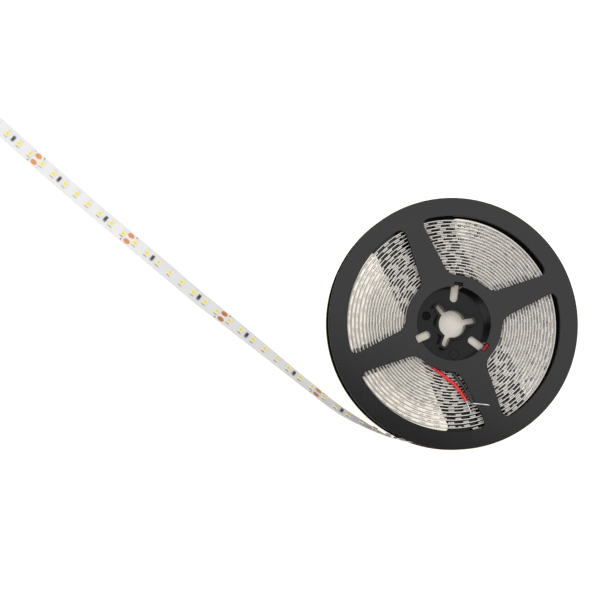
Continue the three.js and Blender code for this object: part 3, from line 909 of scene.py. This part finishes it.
def make_strands(name, route, node):
    """A tinned bundle of strands, twisted together."""
    points = route_points(route, STRAND_STEP)
    sides = STRAND_SIDES
    end = len(points) - 1
    ring = np.linspace(0, 2 * math.pi, sides, endpoint=False)
    shape = Shape()
    for i, point in enumerate(points):
        ahead = points[min(i + 1, end)] - points[max(i - 1, 0)]
        ahead /= np.linalg.norm(ahead)
        side = np.cross(ahead, (0, 0, 1))
        side /= np.linalg.norm(side)
        up = np.cross(side, ahead)
        taper = 1 if i < end - 1 else STRAND_END_TAPER + (1 - STRAND_END_TAPER) * (end - i) / 2
        for angle in ring:
            lobe = abs(math.cos(STRAND_LOBES / 2 * (angle - STRAND_TWIST * i * STRAND_STEP)))
            radius = STRAND_BUNDLE_RADIUS * MM * taper * (1 - STRAND_GROOVE + STRAND_GROOVE * lobe)
            outward = side * math.cos(angle) + up * math.sin(angle)
            shape.points.append(tuple(point + radius * outward))
    for i in range(end):
        for k in range(sides):
            a, b = i * sides + k, i * sides + (k + 1) % sides
            shape.faces.append([a, b, b + sides, a + sides])
    last = end * sides
    shape.faces += [list(reversed(range(sides))), [last + k for k in range(sides)]]
    shape.materials = [0] * len(shape.faces)
    return place(name, shape.mesh(name, [TINNED_COPPER], scale=1), "tinned_metal", [node])


red_strands = make_strands("red_strands", RED_TIP_ROUTE, "red_wire_tip")
black_strands = make_strands("black_strands", BLACK_TIP_ROUTE, "black_wire_tip")
for node in ("red_solder_joint", "black_solder_joint"):
    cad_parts[node].data.materials.clear()
    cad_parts[node].data.materials.append(TINNED_COPPER)
red_wire, red_points, red_length = make_wire("red_lead", RED_ROUTE, "red_wire", "red_insulation", RED_PVC)
black_wire, black_points, black_length = make_wire(
    "black_lead", BLACK_ROUTE, "black_wire", "black_insulation", BLACK_PVC)


# Floor and light

SHEET_RADIUS = 24
FLOOR_HALF_WIDTH = 2500
FLOOR_HEIGHT = -0.0002
SHEET_HEIGHT = -0.0001
FLOOR_GLOW = (0.74, 0.68, 0.60)
WORLD_STRENGTH = 0.45
LAMPS = (  # name, metres from the reel's axis, size and power
    ("overhead", (-0.35, -0.15, 2.0), 0.4, 7.0),
    ("key", (0.23, 0.53, 1.5), 1.0, 8.0),
    ("fill", (-1.2, -0.9, 1.4), 1.0, 5.5),
)


def stage_flat(name, outline, finish, middle):
    """Something flat that lies under the reel and isn't part of it."""
    shape = Shape()
    shape.add([(x, y, 0) for x, y in outline], [list(range(len(outline)))])
    flat = bpy.data.objects.new(name, shape.mesh(name, [finish.material], origin=middle))
    bpy.context.scene.collection.objects.link(flat)


def make_floor():
    """White paper, lit as any surface, whose own white only the view and reflections see."""
    finish = Finish("floor_paper", Specular_IOR_Level=0.1)
    finish.set("Base Color", (0.84, 0.81, 0.76))
    finish.set("Roughness", 0.9)
    rays = ("Camera", "Glossy", "Transmission")
    seen = sum(finish.node("LightPath", output=f"Is {ray} Ray") for ray in rays)
    finish.set("Emission Color", finish.blend(seen, grey(0.0), FLOOR_GLOW))
    finish.set("Emission Strength", 1.0)
    stage_flat("floor", block(FLOOR_HALF_WIDTH, FLOOR_HALF_WIDTH), finish, (0, 0, FLOOR_HEIGHT))


def make_sheet():
    """The cream paper that shows through the reel's holes."""
    finish = Finish("cream_paper", Specular_IOR_Level=0.2)
    fibre = finish.noise(0.8, detail=4)
    finish.set("Base Color", finish.blend(fibre, (0.92, 0.85, 0.75), (0.95, 0.89, 0.80)))
    finish.set("Roughness", fibre * 0.1 + 0.8)
    sheet_middle = REEL_AXIS + Vector((0, 0, SHEET_HEIGHT))
    stage_flat("sheet", arc(SHEET_RADIUS, 0, 355, 5), finish, sheet_middle)


def make_light():
    world = bpy.data.worlds.new("studio")
    bpy.context.scene.world = world
    world.use_nodes = True
    background = world.node_tree.nodes["Background"]
    background.inputs["Color"].default_value = (1, 1, 1, 1)
    background.inputs["Strength"].default_value = WORLD_STRENGTH
    for name, spot, size, power in LAMPS:
        lamp = bpy.data.lights.new(name, "AREA")
        lamp.size = size
        lamp.energy = power
        holder = bpy.data.objects.new(name, lamp)
        holder.location = REEL_AXIS + Vector(spot)
        holder.rotation_mode = "QUATERNION"
        holder.rotation_quaternion = (-Vector(spot)).to_track_quat("-Z", "Y")
        bpy.context.scene.collection.objects.link(holder)
    bpy.context.scene.view_settings.view_transform = "Standard"


make_floor()
make_sheet()
make_light()
